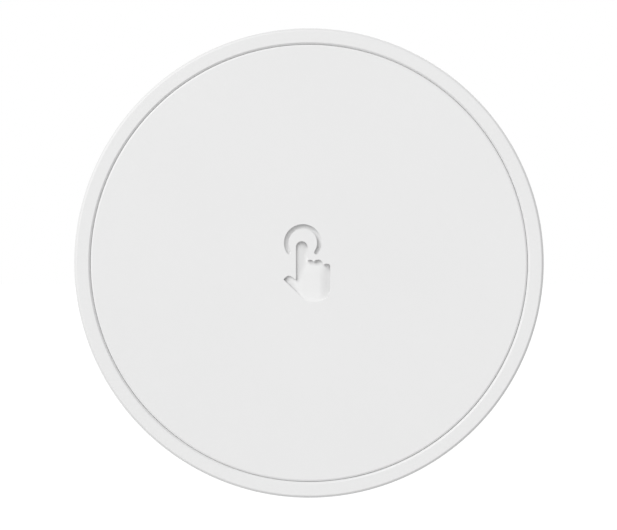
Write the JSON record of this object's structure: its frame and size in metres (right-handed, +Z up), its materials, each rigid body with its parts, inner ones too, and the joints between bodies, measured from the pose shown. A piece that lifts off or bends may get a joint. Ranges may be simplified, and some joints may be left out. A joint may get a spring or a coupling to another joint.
{
  "type": "smart radiator thermostat",
  "caption": "Short round battery radiator thermostat whose whole flat end face is a push button; a ribbed union nut at the other end screws onto the valve.",
  "frame": {"origin": "on the axis, where the union nut's thread ends inside, 0.3 mm in front of the collar's seat", "axes": "+Y along the axis into the valve, -Y towards the room and the pushed face, +Z up"},
  "size_m": [0.052, 0.0951, 0.052],
  "materials": {
    "white_shell_plastic": "fine matte moulded white plastic",
    "white_face_plastic": "fine matte moulded white plastic",
    "soft_silicone": "soft translucent white silicone",
    "nickel_plated_brass": "nickel-plated brass, satin",
    "glass_filled_nylon": "black glass-filled nylon",
    "frame_plastic": "dark grey moulded plastic",
    "gear_acetal": "natural acetal, slightly waxy",
    "spindle_acetal": "black acetal",
    "bright_steel": "bright steel",
    "zinc_screw_steel": "zinc-plated screw steel",
    "motor_steel": "plated deep-drawn steel can",
    "motor_cap_plastic": "off-white moulded end cap",
    "lead_insulation": "coloured lead insulation",
    "cell_can": "AA cell in a plain two-tone plastic sleeve",
    "spring_bronze": "nickel-plated spring bronze",
    "board_laminate": "green solder-mask laminate",
    "chip_epoxy": "black moulding compound",
    "tinned_steel": "tinned sheet steel",
    "switch_plastic": "black switch housing",
    "led_lens": "clear resin over a yellow die",
    "ferrite": "dark grey ferrite",
    "tantalum_resin": "ochre moulded resin"
  },
  "bodies": {
    "core": {"neck_collar": "glass_filled_nylon", "rear_shell": "white_shell_plastic", "gearbox_valve_plate": "glass_filled_nylon", "gearbox_room_plate": "glass_filled_nylon", "gearbox_screws": "zinc_screw_steel", "gear_axles": "bright_steel", "thrust_washer": "bright_steel", "motor_can": "motor_steel", "motor_end_cap": "motor_cap_plastic", "motor_terminals": "tinned_steel", "motor_leads": "lead_insulation", "core_frame": "frame_plastic", "battery_cell_left": "cell_can", "battery_cell_right": "cell_can", "battery_springs": "spring_bronze", "battery_bridge": "spring_bronze", "battery_terminals": "spring_bronze", "circuit_board": "board_laminate", "board_screws": "zinc_screw_steel", "switch_base": "switch_plastic", "switch_cover": "tinned_steel", "radio_board": "board_laminate", "radio_shield": "tinned_steel", "processor": "chip_epoxy", "motor_driver": "chip_epoxy", "boost_coil": "ferrite", "supply_capacitor": "tantalum_resin", "crystal": "tinned_steel", "status_leds": "led_lens", "temperature_sensor": "chip_epoxy"},
    "nut": {"union_nut": "nickel_plated_brass"},
    "cover": {"outer_sleeve": "white_shell_plastic", "face_return_ring": "soft_silicone"},
    "face": {"push_face": "white_face_plastic"},
    "switch_plunger": {"switch_stem": "switch_plastic"},
    "motor_rotor": {"motor_shaft": "bright_steel", "motor_pinion": "gear_acetal"},
    "gear_1": {"reduction_gear_1": "gear_acetal"},
    "gear_2": {"reduction_gear_2": "gear_acetal"},
    "gear_3": {"reduction_gear_3": "gear_acetal"},
    "output": {"output_gear": "gear_acetal"},
    "spindle": {"spindle": "spindle_acetal", "spindle_tip": "bright_steel"}
  },
  "joints": [
    {"name": "nut_spin", "type": "hinge", "parent": "core", "child": "nut", "pos_m": [0, 0, 0], "axis": [0, 1, 0], "continuous": true},
    {"name": "cover_pull", "type": "slide", "parent": "core", "child": "cover", "axis": [0, -1, 0], "range_m": [0, 0.072]},
    {"name": "face_press", "type": "slide", "parent": "cover", "child": "face", "axis": [0, 1, 0], "range_m": [0, 0.0004], "stiffness_N_per_m": 600, "springref_m": -0.002, "deforming": ["face_return_ring"]},
    {"name": "switch_press", "type": "slide", "parent": "core", "child": "switch_plunger", "axis": [0, 1, 0], "range_m": [0, 0.0004]},
    {"name": "spindle_travel", "type": "slide", "parent": "core", "child": "spindle", "axis": [0, 1, 0], "range_m": [0, 0.0042]},
    {"name": "output_turn", "type": "hinge", "parent": "core", "child": "output", "pos_m": [0, 0, 0], "axis": [0, -1, 0], "range_deg": [0, 1008]},
    {"name": "gear_3_turn", "type": "hinge", "parent": "core", "child": "gear_3", "pos_m": [0.01028, 0, -0.00876], "axis": [0, -1, 0], "range_deg": [-4435.2, 0]},
    {"name": "gear_2_turn", "type": "hinge", "parent": "core", "child": "gear_2", "pos_m": [0.01348, 0, 0.00072], "axis": [0, -1, 0], "range_deg": [0, 13305.6]},
    {"name": "gear_1_turn", "type": "hinge", "parent": "core", "child": "gear_1", "pos_m": [0.00929, 0, 0.0098], "axis": [0, -1, 0], "range_deg": [-39916.8, 0]},
    {"name": "motor_turn", "type": "hinge", "parent": "core", "child": "motor_rotor", "pos_m": [0, 0, 0.0135], "axis": [0, -1, 0], "range_deg": [0, 119750.4]}
  ],
  "couplings": [
    {"joint": "output_turn", "follows": "spindle_travel", "rad_per_m": 4188.8},
    {"joint": "gear_3_turn", "follows": "spindle_travel", "rad_per_m": -18431},
    {"joint": "gear_2_turn", "follows": "spindle_travel", "rad_per_m": 55292},
    {"joint": "gear_1_turn", "follows": "spindle_travel", "rad_per_m": -165880},
    {"joint": "motor_turn", "follows": "spindle_travel", "rad_per_m": 497630},
    {"joint": "switch_press", "follows": "face_press", "ratio": 1}
  ]
}
